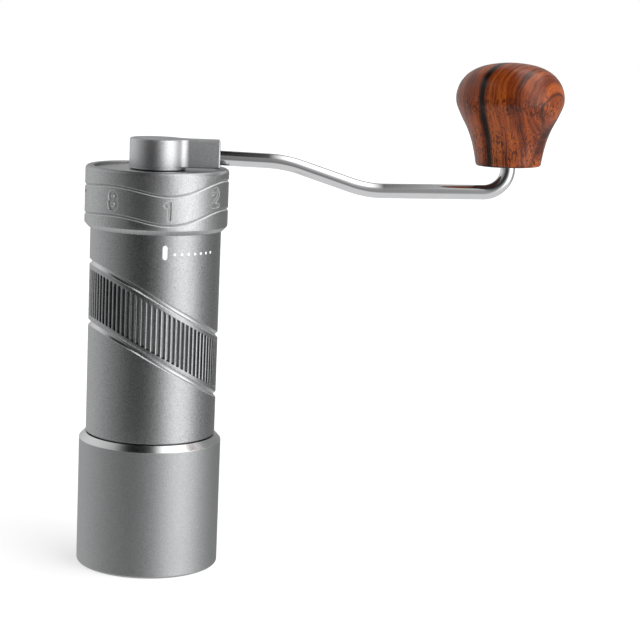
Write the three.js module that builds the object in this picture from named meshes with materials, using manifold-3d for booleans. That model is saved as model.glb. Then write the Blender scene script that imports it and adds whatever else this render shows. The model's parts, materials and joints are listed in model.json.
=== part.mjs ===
// Hand crank coffee grinder.
// Millimetres, +Z up. The origin is the centre of the catch cup's underside, and the crank arm
// points along +X. Threads are left out as plain cylinders with running clearance.

import * as THREE from 'three';
import { mergeVertices } from 'three/addons/utils/BufferGeometryUtils.js';
import Module from 'manifold-3d';

const wasm = await Module();
wasm.setup();

// ---------------------------------------------------------------- driving dimensions

const GAP = 0.3; // clearance between pieces that touch or run on each other
const CLIP_PLAY = 0.2; // play of a spring clip in its groove
const LARGE = 36; // sides of a large round piece
const SMALL = 18; // sides of a small round piece

const CUP_RADIUS = 29.2;
const CUP_HEIGHT = 54.7;
const CUP_FLOOR = 2.5;
const CUP_MOUTH_RADIUS = 24.8;
const CUP_INSIDE_RADIUS = 25.6;
const CUP_SHOULDER = { in: 2.3, down: 2.4 };
const CUP_FOOT_CHAMFER = 1;
const CUP_RELIEF = { belowSpigot: 1.5, step: 0.8 }; // the bore widens just below the body's spigot

const BODY_RADIUS = 26.5;
const BODY_BOTTOM = CUP_HEIGHT + 0.4;
const BODY_TOP = 156;
const BODY_BORE = 23.6;
const SPIGOT_RADIUS = 24.4;
const SPIGOT_BOTTOM = 41.5;
const SEAL = { z: 47.2, radius: 24.05, thickness: 1.2, grooveRadius: 23.3, grooveHeight: 2.4 };

const BURR_OUTER_RADIUS = 22;
const BURR_TOP = 60.3;
const BURR_BOTTOM = 44;
const BURR_MOUTH = { bottom: 20, top: 14 }; // bore radii of the outer burr
const BURR_OPENING = 0.85; // radial gap between the burrs at the coarsest setting
const INNER_BURR = { bottom: 43.4, top: 66 };
const BURR_SEAT = { radius: 20.5, thickness: 1.7 };
const OUTER_TEETH = { count: 12, depth: 1.6, width: 1.4 };
const INNER_TEETH = { count: 7, depth: 3, width: 2.2 };
const TOOTH_SLANT = 0.35; // radians from a line down the cone
const RETAINING_RING_BOTTOM = SPIGOT_BOTTOM + 0.5;
const PRELOAD_SPRING = { wire: 0.7, radius: 22.4, turns: 2.5 };

const DIAL_RADIUS = 29;
const DIAL_BOTTOM = 139.6;
const DIAL_TOP = 164.4;
const DIAL_BORE = 26.8;
const DIAL_RIM_BORE = 25.6;
const DIAL_FLANGE = { bottom: BODY_TOP + 0.4, thickness: 1, radius: 23.5 };
const DIAL_BEVEL = 2;
const DIAL_TOP_ROUND = 1.4;
const CLICKS_PER_TURN = 30;
const DIAL_RING = { z: 143.5, height: 1.2, inner: 25.9, outer: 27.2 };

const HOPPER = { bottom: 70, top: 160.6, bore: 21.7, radius: 23.2, collarRadius: 25.3 };
const HOPPER_COLLAR_BOTTOM = DIAL_FLANGE.bottom + DIAL_FLANGE.thickness + GAP;
const CARRIAGE_TRAVEL = 1.5; // how far the dial lifts the hopper tube and the inner burr
const GUIDE_PIN = { z: 150, radius: 1.2, inner: 22, outer: 26.3 };
const DETENT = { pitchRadius: 25.05, ballRadius: 0.7, ballTop: BODY_TOP + 0.1 };
const DETENT_HOLE = { radius: 1, bottom: 149.7 };
const DETENT_SPRING = { wire: 0.15, radius: 0.55, turns: 4 };
const DETENT_NOTCH = { length: 1.8, side: 0.8 };

const BEARING = { bore: 4.15, inner: 5.15, outer: 6.85, radius: 8, height: 5, balls: 7, ballRadius: 0.7 };
const CAGE = { halfWidth: 0.4, halfHeight: 0.3 };
const BRACKET = { height: 6, hubRadius: 10.2, windowRadius: 19.6, radius: 21.4, armWidth: 4 };
const LOWER_BEARING_BOTTOM = 71.5;
const UPPER_BEARING_BOTTOM = 146.6;

const SHAFT = { bottom: 38.2, journalRadius: 4, middleRadius: 5.2, hexBottom: 155.5, top: 171.9 };
const SHAFT_HEX_RADIUS = 3.9; // centre to corner
const SOCKET_HEX_RADIUS = SHAFT_HEX_RADIUS + 0.4;
const SHAFT_CLIP = { z: 152.3, height: 0.8, inner: 3.6, outer: 6 };
const BURR_NUT = { bottom: 38.9, height: 3.1, hexRadius: 7.5 };
const BURR_WASHER = { bottom: 42.3, height: 0.8, radius: 9 };

const LID = { bottom: 161.8, top: 163.4, radius: 25.2, bore: 7.8 };
const LID_GASKET = { bottom: 160.9, top: 161.5, inner: 22.2, outer: 24.6 };
const LID_CLIP = { z: 160.3, height: 1.1, inner: 7.2, outer: 9.4 };

const HUB_BOTTOM = 163.7;
const HUB_TOP = 175.8;
const HUB_RADIUS = 11.5;
const HUB_SPIGOT = { radius: 7.5, bottom: 157.5 };
const HUB_EDGE = 0.6;
const NECK = { halfWidth: 5.75, end: 25, bottom: 164.7, filletRadius: 5 };
const SOCKET_TOP = SHAFT.top + GAP;
const SET_SCREW = { x: 18, z: 168.86, radius: 1.5, length: 2.1 };

const ROD_RADIUS = 3;
const ROD_START = [10, 169.06]; // x, z of the rod's axis inside the hub
const ROD_BENDS = [
  { at: [51.4, 168.1], radius: 50 },
  { at: [85.5, 157.5], radius: 41 },
  { at: [143.6, 158.75], radius: 10 },
];
const ROD_SIDES = 10;
const ROD_STEPS = 50;

const KNOB_BASE = [143.3, 169.9]; // x, z of the middle of the knob's underside
const KNOB_LEAN = -0.026; // radians about +Y: the knob leans a little towards the body
const KNOB_HEIGHT = 41.9;
const KNOB_OUTLINE = [
  // height above the underside, radius
  [0.5, 13.3],
  [5.3, 14.2],
  [10.2, 15.4],
  [15, 17.2],
  [19.9, 19.7],
  [24.7, 21.8],
  [27.8, 22.1],
  [31.2, 21.5],
  [34.5, 19.9],
  [37.7, 17],
  [40, 12.3],
  [41.4, 6.6],
];
const KNOB_BORE = { radius: 5, depth: 29 };
const KNOB_BUSHING = { inner: 3.3, outer: 4.7, bottom: 1.5, top: 24 };
const KNOB_CLIP = { bottom: 25, height: 0.9, inner: 2.6, outer: 4.5 };
const ROD_END_HEIGHT = 27; // above the knob's underside

// ---------------------------------------------------------------- materials

const material = (color, roughness, metalness) =>
  new THREE.MeshStandardMaterial({ color, roughness, metalness });

const ALUMINIUM = material(0x7d7f84, 0.42, 1);
const POLISHED_ALUMINIUM = material(0xa3a5aa, 0.25, 1);
const STAINLESS = material(0xc9cacc, 0.15, 1);
const BURR_STEEL = material(0x9a9ca0, 0.3, 1);
const SPRING_STEEL = material(0x8d8f93, 0.35, 1);
const BRASS = material(0xb8924a, 0.35, 1);
const SILICONE = material(0x2a2a2c, 0.7, 0);
const ROSEWOOD = material(0x6b2a20, 0.3, 0);

// ---------------------------------------------------------------- shape helpers

// A turned piece about Z. The outline is [radius, z] pairs that run up the outside.
function turned(outline, sides, closed = true) {
  const points = outline.map(([radius, z]) => new THREE.Vector2(radius, z));
  if (closed) points.push(points[0].clone());
  return new THREE.LatheGeometry(points, sides).rotateX(Math.PI / 2);
}

function tube(inner, outer, bottom, top, sides) {
  return turned([[inner, bottom], [outer, bottom], [outer, top], [inner, top]], sides);
}

// An upright cylinder, or a prism when it has few sides.
function post(radius, bottom, top, sides) {
  return new THREE.CylinderGeometry(radius, radius, top - bottom, sides)
    .rotateX(Math.PI / 2)
    .translate(0, 0, (bottom + top) / 2);
}

function block(low, high) {
  const size = high.map((value, i) => value - low[i]);
  const middle = high.map((value, i) => (value + low[i]) / 2);
  return new THREE.BoxGeometry(...size).translate(...middle);
}

function extruded(shape, bottom, height, curveSegments) {
  const options = { depth: height, bevelEnabled: false, curveSegments };
  return new THREE.ExtrudeGeometry(shape, options).translate(0, 0, bottom);
}

// An open spring clip in the plane of Z, with its gap towards +Y.
function clip({ inner, outer }, bottom, height, gapAngle, curveSegments) {
  const start = Math.PI / 2 + gapAngle / 2;
  const end = Math.PI / 2 - gapAngle / 2 + 2 * Math.PI;
  const shape = new THREE.Shape();
  shape.absarc(0, 0, outer, start, end, false);
  shape.absarc(0, 0, inner, end, start, true);
  shape.closePath();
  return extruded(shape, bottom, height, curveSegments);
}

class Helix extends THREE.Curve {
  constructor(radius, bottom, top, turns) {
    super();
    Object.assign(this, { radius, bottom, top, turns });
  }

  getPoint(t, target = new THREE.Vector3()) {
    const angle = 2 * Math.PI * this.turns * t;
    const z = this.bottom + (this.top - this.bottom) * t;
    return target.set(this.radius * Math.cos(angle), this.radius * Math.sin(angle), z);
  }
}

function swept(curve, radius, sides, steps) {
  const section = new THREE.Shape();
  for (let i = 0; i < sides; i += 1) {
    const angle = (2 * Math.PI * i) / sides;
    const corner = [radius * Math.cos(angle), radius * Math.sin(angle)];
    if (i === 0) section.moveTo(...corner);
    else section.lineTo(...corner);
  }
  section.closePath();
  return new THREE.ExtrudeGeometry(section, { steps, extrudePath: curve });
}

function toSolid(geometry) {
  const bare = geometry.clone();
  bare.deleteAttribute('normal');
  bare.deleteAttribute('uv');
  const merged = mergeVertices(bare);
  const corners = merged.index.array;
  const kept = [];
  for (let i = 0; i < corners.length; i += 3) {
    const [a, b, c] = corners.slice(i, i + 3);
    if (a !== b && b !== c && c !== a) kept.push(a, b, c);
  }
  const vertProperties = new Float32Array(merged.attributes.position.array);
  const triVerts = new Uint32Array(kept);
  return new wasm.Manifold(new wasm.Mesh({ numProp: 3, vertProperties, triVerts }));
}

function toGeometry(solid) {
  const { vertProperties, triVerts } = solid.getMesh();
  const geometry = new THREE.BufferGeometry();
  geometry.setAttribute('position', new THREE.BufferAttribute(vertProperties, 3));
  geometry.setIndex(new THREE.BufferAttribute(triVerts, 1));
  geometry.computeVertexNormals();
  return geometry;
}

function joined(geometries) {
  return toGeometry(geometries.map(toSolid).reduce((sum, next) => sum.add(next)));
}

function cut(geometry, cutters) {
  const start = toSolid(geometry);
  return toGeometry(cutters.map(toSolid).reduce((rest, cutter) => rest.subtract(cutter), start));
}

const root = new THREE.Group();

function add(name, geometry, look, parent = root) {
  const mesh = new THREE.Mesh(geometry, look);
  mesh.name = name;
  parent.add(mesh);
}

// ---------------------------------------------------------------- catch cup

function catchCup() {
  const wallTop = CUP_HEIGHT - CUP_SHOULDER.down;
  const mouthBottom = SPIGOT_BOTTOM - CUP_RELIEF.belowSpigot;
  return turned([
    [0, 0],
    [CUP_RADIUS - CUP_FOOT_CHAMFER, 0],
    [CUP_RADIUS, CUP_FOOT_CHAMFER],
    [CUP_RADIUS, wallTop],
    [CUP_RADIUS - CUP_SHOULDER.in, CUP_HEIGHT],
    [CUP_MOUTH_RADIUS, CUP_HEIGHT],
    [CUP_MOUTH_RADIUS, mouthBottom],
    [CUP_INSIDE_RADIUS, mouthBottom - CUP_RELIEF.step],
    [CUP_INSIDE_RADIUS, CUP_FLOOR],
    [0, CUP_FLOOR],
  ], LARGE, false);
}

add('catch_cup', catchCup(), ALUMINIUM);

// ---------------------------------------------------------------- body and what is fixed to it

// The groove that a spring ring sits in, as outline points that run up a wall.
function ringGroove(wallRadius, grooveRadius) {
  const bottom = DIAL_RING.z - GAP;
  const top = DIAL_RING.z + DIAL_RING.height + GAP;
  return [[wallRadius, bottom], [grooveRadius, bottom], [grooveRadius, top], [wallRadius, top]];
}

function outerBody() {
  const sealBottom = SEAL.z - SEAL.grooveHeight / 2;
  const sealTop = SEAL.z + SEAL.grooveHeight / 2;
  const burrBore = BURR_OUTER_RADIUS + GAP;
  const seatBottom = BURR_TOP + GAP;
  const shell = turned([
    [burrBore, SPIGOT_BOTTOM],
    [SPIGOT_RADIUS, SPIGOT_BOTTOM],
    [SPIGOT_RADIUS, sealBottom],
    [SEAL.grooveRadius, sealBottom],
    [SEAL.grooveRadius, sealTop],
    [SPIGOT_RADIUS, sealTop],
    [SPIGOT_RADIUS, BODY_BOTTOM],
    [BODY_RADIUS, BODY_BOTTOM],
    ...ringGroove(BODY_RADIUS, DIAL_RING.inner - GAP),
    [BODY_RADIUS, BODY_TOP],
    [BODY_BORE, BODY_TOP],
    [BODY_BORE, seatBottom + BURR_SEAT.thickness],
    [BURR_SEAT.radius, seatBottom + BURR_SEAT.thickness],
    [BURR_SEAT.radius, seatBottom],
    [burrBore, seatBottom],
  ], LARGE);
  const pinHole = radialPin(GUIDE_PIN.radius + GAP, BODY_BORE - 1, BODY_RADIUS + 1);
  const ballHole = post(DETENT_HOLE.radius, DETENT_HOLE.bottom, BODY_TOP + 1, SMALL / 2)
    .translate(0, DETENT.pitchRadius, 0);
  return cut(shell, [pinHole, ballHole]);
}

// A pin that points out along -X at the height of the guide pin.
function radialPin(radius, inner, outer) {
  return new THREE.CylinderGeometry(radius, radius, outer - inner, SMALL / 2)
    .rotateZ(Math.PI / 2)
    .translate(-(inner + outer) / 2, 0, GUIDE_PIN.z);
}

function sealRing() {
  return new THREE.TorusGeometry(SEAL.radius, SEAL.thickness / 2, 6, LARGE)
    .translate(0, 0, SEAL.z);
}

const burrSlope = (BURR_MOUTH.bottom - BURR_MOUTH.top) / (BURR_TOP - BURR_BOTTOM);
const burrMouthRadius = (z) => BURR_MOUTH.bottom - burrSlope * (z - BURR_BOTTOM);

// Slanted cutters for the teeth of a burr, spaced evenly about the axis.
function toothCutters({ count, depth, width }, radius, bottom, top) {
  const lean = Math.atan(burrSlope);
  const length = (top - bottom) * 1.3; // long enough to run out at both ends
  return Array.from({ length: count }, (_, i) =>
    new THREE.BoxGeometry(depth, width, length)
      .rotateX(TOOTH_SLANT)
      .rotateY(-lean)
      .translate(radius, 0, (bottom + top) / 2)
      .rotateZ((2 * Math.PI * i) / count));
}

function outerBurr() {
  const blank = turned([
    [BURR_MOUTH.bottom, BURR_BOTTOM],
    [BURR_OUTER_RADIUS, BURR_BOTTOM],
    [BURR_OUTER_RADIUS, BURR_TOP],
    [BURR_MOUTH.top, BURR_TOP],
  ], LARGE);
  const middle = burrMouthRadius((BURR_BOTTOM + BURR_TOP) / 2);
  return cut(blank, toothCutters(OUTER_TEETH, middle, BURR_BOTTOM, BURR_TOP));
}

function innerBurr() {
  const radiusAt = (z) => burrMouthRadius(z) - BURR_OPENING;
  const blank = turned([
    [BEARING.bore, INNER_BURR.bottom],
    [radiusAt(INNER_BURR.bottom), INNER_BURR.bottom],
    [radiusAt(INNER_BURR.top), INNER_BURR.top],
    [BEARING.bore, INNER_BURR.top],
  ], LARGE);
  const middle = radiusAt((INNER_BURR.bottom + INNER_BURR.top) / 2);
  return cut(blank, toothCutters(INNER_TEETH, middle, INNER_BURR.bottom, INNER_BURR.top));
}

function burrRetainingRing() {
  return tube(BURR_MOUTH.bottom + GAP, BURR_OUTER_RADIUS, RETAINING_RING_BOTTOM, BURR_BOTTOM - GAP, LARGE);
}

function preloadSpring() {
  const { wire, radius, turns } = PRELOAD_SPRING;
  const bottom = BURR_TOP + GAP + BURR_SEAT.thickness + GAP + wire;
  const top = HOPPER.bottom - GAP - wire;
  return swept(new Helix(radius, bottom, top, turns), wire, 5, 16 * turns);
}

function detentSpring() {
  const { wire, radius, turns } = DETENT_SPRING;
  const ballBottom = DETENT.ballTop - 2 * DETENT.ballRadius;
  const coil = new Helix(radius, DETENT_HOLE.bottom + GAP + wire, ballBottom - GAP - wire, turns);
  return swept(coil, wire, 4, 8 * turns).translate(0, DETENT.pitchRadius, 0);
}

function detentBall() {
  return new THREE.SphereGeometry(DETENT.ballRadius, 12, 8)
    .translate(0, DETENT.pitchRadius, DETENT.ballTop - DETENT.ballRadius);
}

add('outer_body', outerBody(), ALUMINIUM);
add('cup_seal', sealRing(), SILICONE);
add('outer_burr', outerBurr(), BURR_STEEL);
add('burr_retaining_ring', burrRetainingRing(), STAINLESS);
add('guide_pin', radialPin(GUIDE_PIN.radius, GUIDE_PIN.inner, GUIDE_PIN.outer), STAINLESS);
add('dial_ring_clip', clip(DIAL_RING, DIAL_RING.z, DIAL_RING.height, 0.3, SMALL), SPRING_STEEL);
add('detent_ball', detentBall(), STAINLESS);
add('detent_spring', detentSpring(), SPRING_STEEL);
add('preload_spring', preloadSpring(), SPRING_STEEL);

// ---------------------------------------------------------------- adjustment dial

function adjustmentDial() {
  const arcSteps = 2;
  const topRound = Array.from({ length: arcSteps + 1 }, (_, i) => {
    const angle = (Math.PI / 2) * (i / arcSteps);
    const middle = [DIAL_RADIUS - DIAL_TOP_ROUND, DIAL_TOP - DIAL_TOP_ROUND];
    return [middle[0] + DIAL_TOP_ROUND * Math.cos(angle), middle[1] + DIAL_TOP_ROUND * Math.sin(angle)];
  });
  const shell = turned([
    [DIAL_BORE, DIAL_BOTTOM],
    [DIAL_RADIUS - DIAL_BEVEL, DIAL_BOTTOM],
    [DIAL_RADIUS, DIAL_BOTTOM + DIAL_BEVEL],
    ...topRound,
    [DIAL_RIM_BORE, DIAL_TOP],
    [DIAL_RIM_BORE, DIAL_FLANGE.bottom + DIAL_FLANGE.thickness],
    [DIAL_FLANGE.radius, DIAL_FLANGE.bottom + DIAL_FLANGE.thickness],
    [DIAL_FLANGE.radius, DIAL_FLANGE.bottom],
    [DIAL_BORE, DIAL_FLANGE.bottom],
    ...ringGroove(DIAL_BORE, DIAL_RING.outer + GAP).reverse(),
  ], LARGE);
  const notches = Array.from({ length: CLICKS_PER_TURN }, (_, i) =>
    new THREE.BoxGeometry(DETENT_NOTCH.length, DETENT_NOTCH.side, DETENT_NOTCH.side)
      .rotateX(Math.PI / 4)
      .translate(DETENT.pitchRadius, 0, DIAL_FLANGE.bottom)
      .rotateZ((2 * Math.PI * i) / CLICKS_PER_TURN));
  return cut(shell, notches);
}

add('adjustment_dial', adjustmentDial(), ALUMINIUM);

// ---------------------------------------------------------------- hopper tube and its bearings

function hopperTube() {
  const shell = turned([
    [HOPPER.bore, HOPPER.bottom],
    [HOPPER.radius, HOPPER.bottom],
    [HOPPER.radius, HOPPER_COLLAR_BOTTOM],
    [HOPPER.collarRadius, HOPPER_COLLAR_BOTTOM],
    [HOPPER.collarRadius, HOPPER.top],
    [HOPPER.bore, HOPPER.top],
  ], LARGE);
  const halfWidth = GUIDE_PIN.radius + GAP;
  const slot = block(
    [-HOPPER.radius - 1, -halfWidth, GUIDE_PIN.z - halfWidth - CARRIAGE_TRAVEL],
    [-HOPPER.bore + 1, halfWidth, GUIDE_PIN.z + halfWidth],
  );
  return cut(shell, [slot]);
}

// A ring with three spokes that carries a bearing in its hub.
function bearingBracket(bottom) {
  const spokes = 3;
  const shape = new THREE.Shape();
  shape.absarc(0, 0, BRACKET.radius, 0, 2 * Math.PI, false);
  const hubHole = new THREE.Path();
  hubHole.absarc(0, 0, BEARING.radius + GAP, 0, 2 * Math.PI, true);
  shape.holes.push(hubHole);
  const halfArm = BRACKET.armWidth / 2;
  const nearEdge = Math.asin(halfArm / BRACKET.hubRadius);
  const farEdge = Math.asin(halfArm / BRACKET.windowRadius);
  for (let i = 0; i < spokes; i += 1) {
    const middle = (2 * Math.PI * i) / spokes;
    const half = Math.PI / spokes;
    const window = new THREE.Path();
    window.absarc(0, 0, BRACKET.windowRadius, middle - half + farEdge, middle + half - farEdge, false);
    window.absarc(0, 0, BRACKET.hubRadius, middle + half - nearEdge, middle - half + nearEdge, true);
    window.closePath();
    shape.holes.push(window);
  }
  return extruded(shape, bottom, BRACKET.height, 8);
}

function ballCage(bottom) {
  const pitch = (BEARING.inner + BEARING.outer) / 2;
  const middle = bottom + BEARING.height / 2;
  const { halfWidth, halfHeight } = CAGE;
  const ring = tube(pitch - halfWidth, pitch + halfWidth, middle - halfHeight, middle + halfHeight, 21);
  const balls = Array.from({ length: BEARING.balls }, (_, i) =>
    new THREE.SphereGeometry(BEARING.ballRadius, 8, 4)
      .translate(pitch, 0, middle)
      .rotateZ((2 * Math.PI * i) / BEARING.balls));
  return joined([ring, ...balls]);
}

function addBearing(prefix, bottom) {
  const top = bottom + BEARING.height;
  add(`${prefix}_outer_race`, tube(BEARING.outer, BEARING.radius, bottom, top, SMALL), STAINLESS);
  add(`${prefix}_inner_race`, tube(BEARING.bore, BEARING.inner, bottom, top, SMALL), STAINLESS);
  add(`${prefix}_ball_cage`, ballCage(bottom), BRASS);
}

const bracketBelow = (BRACKET.height - BEARING.height) / 2;
add('hopper_tube', hopperTube(), POLISHED_ALUMINIUM);
add('lower_bracket', bearingBracket(LOWER_BEARING_BOTTOM - bracketBelow), STAINLESS);
add('upper_bracket', bearingBracket(UPPER_BEARING_BOTTOM - bracketBelow), STAINLESS);
addBearing('lower', LOWER_BEARING_BOTTOM);
addBearing('upper', UPPER_BEARING_BOTTOM);

// ---------------------------------------------------------------- drive shaft and inner burr

function driveShaft() {
  const shoulderBottom = LOWER_BEARING_BOTTOM + BEARING.height + GAP;
  const shoulderTop = UPPER_BEARING_BOTTOM - GAP;
  const clipRadius = SHAFT_CLIP.inner - CLIP_PLAY;
  const clipBottom = SHAFT_CLIP.z - CLIP_PLAY;
  const clipTop = SHAFT_CLIP.z + SHAFT_CLIP.height + CLIP_PLAY;
  const turnedShaft = turned([
    [0, SHAFT.bottom],
    [SHAFT.journalRadius, SHAFT.bottom],
    [SHAFT.journalRadius, shoulderBottom],
    [SHAFT.middleRadius, shoulderBottom],
    [SHAFT.middleRadius, shoulderTop],
    [SHAFT.journalRadius, shoulderTop],
    [SHAFT.journalRadius, clipBottom],
    [clipRadius, clipBottom],
    [clipRadius, clipTop],
    [SHAFT.journalRadius, clipTop],
    [SHAFT.journalRadius, SHAFT.hexBottom],
    [0, SHAFT.hexBottom],
  ], SMALL, false);
  return joined([turnedShaft, post(SHAFT_HEX_RADIUS, SHAFT.hexBottom - 1, SHAFT.top, 6)]);
}

function burrNut() {
  const outline = post(BURR_NUT.hexRadius, BURR_NUT.bottom, BURR_NUT.bottom + BURR_NUT.height, 6);
  const thread = post(BEARING.bore, BURR_NUT.bottom - 1, BURR_NUT.bottom + BURR_NUT.height + 1, SMALL);
  return cut(outline, [thread]);
}

function burrWasher() {
  const { bottom, height, radius } = BURR_WASHER;
  return tube(BEARING.bore, radius, bottom, bottom + height, SMALL);
}

function burrSpacer() {
  return tube(BEARING.bore, BEARING.inner, INNER_BURR.top + GAP, LOWER_BEARING_BOTTOM - GAP, SMALL);
}

add('drive_shaft', driveShaft(), STAINLESS);
add('inner_burr', innerBurr(), BURR_STEEL);
add('burr_spacer', burrSpacer(), STAINLESS);
add('burr_washer', burrWasher(), STAINLESS);
add('burr_nut', burrNut(), STAINLESS);
add('shaft_clip', clip(SHAFT_CLIP, SHAFT_CLIP.z, SHAFT_CLIP.height, 0.8, SMALL / 2), SPRING_STEEL);

// ---------------------------------------------------------------- lid

function lidDisc() {
  return turned([
    [LID.bore, LID.bottom],
    [LID.radius, LID.bottom],
    [LID.radius, LID.top - GAP],
    [LID.radius - GAP, LID.top],
    [LID.bore, LID.top],
  ], LARGE);
}

function lidGasket() {
  const { inner, outer, bottom, top } = LID_GASKET;
  return tube(inner, outer, bottom, top, LARGE);
}

add('lid_disc', lidDisc(), POLISHED_ALUMINIUM);
add('lid_gasket', lidGasket(), SILICONE);
add('lid_clip', clip(LID_CLIP, LID_CLIP.z, LID_CLIP.height, 0.6, SMALL / 2), SPRING_STEEL);

// ---------------------------------------------------------------- crank

// The hub seen from above: a round boss that runs into a straight neck through two fillets.
function hubOutline() {
  const { halfWidth, end, filletRadius } = NECK;
  const fromFlank = halfWidth + filletRadius;
  const filletX = Math.sqrt((HUB_RADIUS + filletRadius) ** 2 - fromFlank ** 2);
  const bossAngle = Math.atan2(fromFlank, filletX);
  const shape = new THREE.Shape();
  shape.moveTo(end, -halfWidth);
  shape.lineTo(end, halfWidth);
  shape.lineTo(filletX, halfWidth);
  shape.absarc(filletX, fromFlank, filletRadius, -Math.PI / 2, bossAngle - Math.PI, true);
  shape.absarc(0, 0, HUB_RADIUS, bossAngle, 2 * Math.PI - bossAngle, false);
  shape.absarc(filletX, -fromFlank, filletRadius, Math.PI - bossAngle, Math.PI / 2, true);
  shape.closePath();
  return shape;
}

function crankHub() {
  const upper = new THREE.ExtrudeGeometry(hubOutline(), {
    depth: HUB_TOP - NECK.bottom - 2 * HUB_EDGE,
    bevelThickness: HUB_EDGE,
    bevelSize: HUB_EDGE,
    bevelOffset: -HUB_EDGE,
    bevelSegments: 1,
    curveSegments: 8,
  }).translate(0, 0, NECK.bottom + HUB_EDGE);
  const clipGroove = LID_CLIP.inner - GAP;
  const lower = turned([
    [0, HUB_SPIGOT.bottom],
    [HUB_SPIGOT.radius, HUB_SPIGOT.bottom],
    [HUB_SPIGOT.radius, LID_CLIP.z - CLIP_PLAY],
    [clipGroove, LID_CLIP.z - CLIP_PLAY],
    [clipGroove, LID_CLIP.z + LID_CLIP.height + CLIP_PLAY],
    [HUB_SPIGOT.radius, LID_CLIP.z + LID_CLIP.height + CLIP_PLAY],
    [HUB_SPIGOT.radius, HUB_BOTTOM],
    [HUB_RADIUS - HUB_EDGE, HUB_BOTTOM],
    [HUB_RADIUS - HUB_EDGE, NECK.bottom + 1],
    [0, NECK.bottom + 1],
  ], SMALL, false);
  const socket = post(SOCKET_HEX_RADIUS, HUB_SPIGOT.bottom - 1, SOCKET_TOP, 6);
  const [rodX, rodZ] = ROD_START;
  const rodSlope = Math.atan2(ROD_BENDS[0].at[1] - rodZ, ROD_BENDS[0].at[0] - rodX);
  const rodBore = new THREE.CylinderGeometry(ROD_RADIUS + GAP, ROD_RADIUS + GAP, NECK.end, SMALL)
    .rotateZ(-Math.PI / 2)
    .translate(NECK.end / 2 - GAP, 0, 0)
    .rotateY(-rodSlope)
    .translate(rodX, 0, rodZ);
  const screwHole = setScrew(SET_SCREW.radius + GAP, NECK.halfWidth);
  return cut(joined([upper, lower]), [socket, rodBore, screwHole]);
}

// A screw in the far flank of the neck, with its outer end a little below the flank.
function setScrew(radius, length) {
  return new THREE.CylinderGeometry(radius, radius, length, SMALL / 2)
    .translate(0, ROD_RADIUS + GAP + length / 2, 0)
    .translate(SET_SCREW.x, 0, SET_SCREW.z);
}

// Straight lines between the bends, with a circular arc at each bend.
function rodPath(start, bends, end) {
  const corners = [start, ...bends.map((bend) => bend.at), end]
    .map(([x, z]) => new THREE.Vector3(x, 0, z));
  const path = new THREE.CurvePath();
  let from = corners[0];
  bends.forEach(({ radius }, i) => {
    const corner = corners[i + 1];
    const inward = corner.clone().sub(corners[i]).normalize();
    const outward = corners[i + 2].clone().sub(corner).normalize();
    const turn = inward.angleTo(outward);
    const setback = radius * Math.tan(turn / 2);
    const arcStart = corner.clone().addScaledVector(inward, -setback);
    const towardsCentre = outward.clone().sub(inward).normalize();
    const centre = corner.clone().addScaledVector(towardsCentre, radius / Math.cos(turn / 2));
    path.add(new THREE.LineCurve3(from, arcStart));
    path.add(new BendCurve(centre, arcStart, inward, turn));
    from = corner.clone().addScaledVector(outward, setback);
  });
  path.add(new THREE.LineCurve3(from, corners[corners.length - 1]));
  return path;
}

class BendCurve extends THREE.Curve {
  constructor(centre, start, heading, turn) {
    super();
    this.centre = centre;
    this.spoke = start.clone().sub(centre);
    this.heading = heading.clone().multiplyScalar(this.spoke.length());
    this.turn = turn;
  }

  getPoint(t, target = new THREE.Vector3()) {
    const angle = this.turn * t;
    return target.copy(this.centre)
      .addScaledVector(this.spoke, Math.cos(angle))
      .addScaledVector(this.heading, Math.sin(angle));
  }
}

// Moves a piece made upright at the origin to the knob's place on the crank.
function placedAtKnob(geometry) {
  return geometry.rotateY(KNOB_LEAN).translate(KNOB_BASE[0], 0, KNOB_BASE[1]);
}

function crankRod() {
  const end = [
    KNOB_BASE[0] + Math.sin(KNOB_LEAN) * ROD_END_HEIGHT,
    KNOB_BASE[1] + Math.cos(KNOB_LEAN) * ROD_END_HEIGHT,
  ];
  const rod = swept(rodPath(ROD_START, ROD_BENDS, end), ROD_RADIUS, ROD_SIDES, ROD_STEPS);
  const grooveBottom = KNOB_CLIP.bottom - CLIP_PLAY;
  const grooveTop = KNOB_CLIP.bottom + KNOB_CLIP.height + CLIP_PLAY;
  const groove = tube(KNOB_CLIP.inner - CLIP_PLAY, ROD_RADIUS + 1, grooveBottom, grooveTop, SMALL);
  return cut(rod, [placedAtKnob(groove)]);
}

function knobClip() {
  const { bottom, height } = KNOB_CLIP;
  return placedAtKnob(clip(KNOB_CLIP, bottom, height, 0.8, SMALL / 2));
}

add('crank_hub', crankHub(), POLISHED_ALUMINIUM);
add('crank_rod', crankRod(), STAINLESS);
add('rod_set_screw', setScrew(SET_SCREW.radius, SET_SCREW.length), SPRING_STEEL);
add('knob_clip', knobClip(), SPRING_STEEL);

// ---------------------------------------------------------------- knob

function knobGrip() {
  const controls = KNOB_OUTLINE.map(([height, radius]) => new THREE.Vector2(radius, height));
  const outside = new THREE.SplineCurve(controls).getPoints(KNOB_OUTLINE.length + 1);
  return turned([
    [0, KNOB_BORE.depth],
    [KNOB_BORE.radius, KNOB_BORE.depth],
    [KNOB_BORE.radius, 0],
    [KNOB_OUTLINE[0][1] - KNOB_OUTLINE[0][0], 0],
    ...outside.map((point) => [point.x, point.y]),
    [0, KNOB_HEIGHT],
  ], 30, false);
}

function knobBushing() {
  return tube(KNOB_BUSHING.inner, KNOB_BUSHING.outer, KNOB_BUSHING.bottom, KNOB_BUSHING.top, SMALL);
}

add('knob_grip', placedAtKnob(knobGrip()), ROSEWOOD);
add('knob_bushing', placedAtKnob(knobBushing()), BRASS);

export default root;
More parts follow.
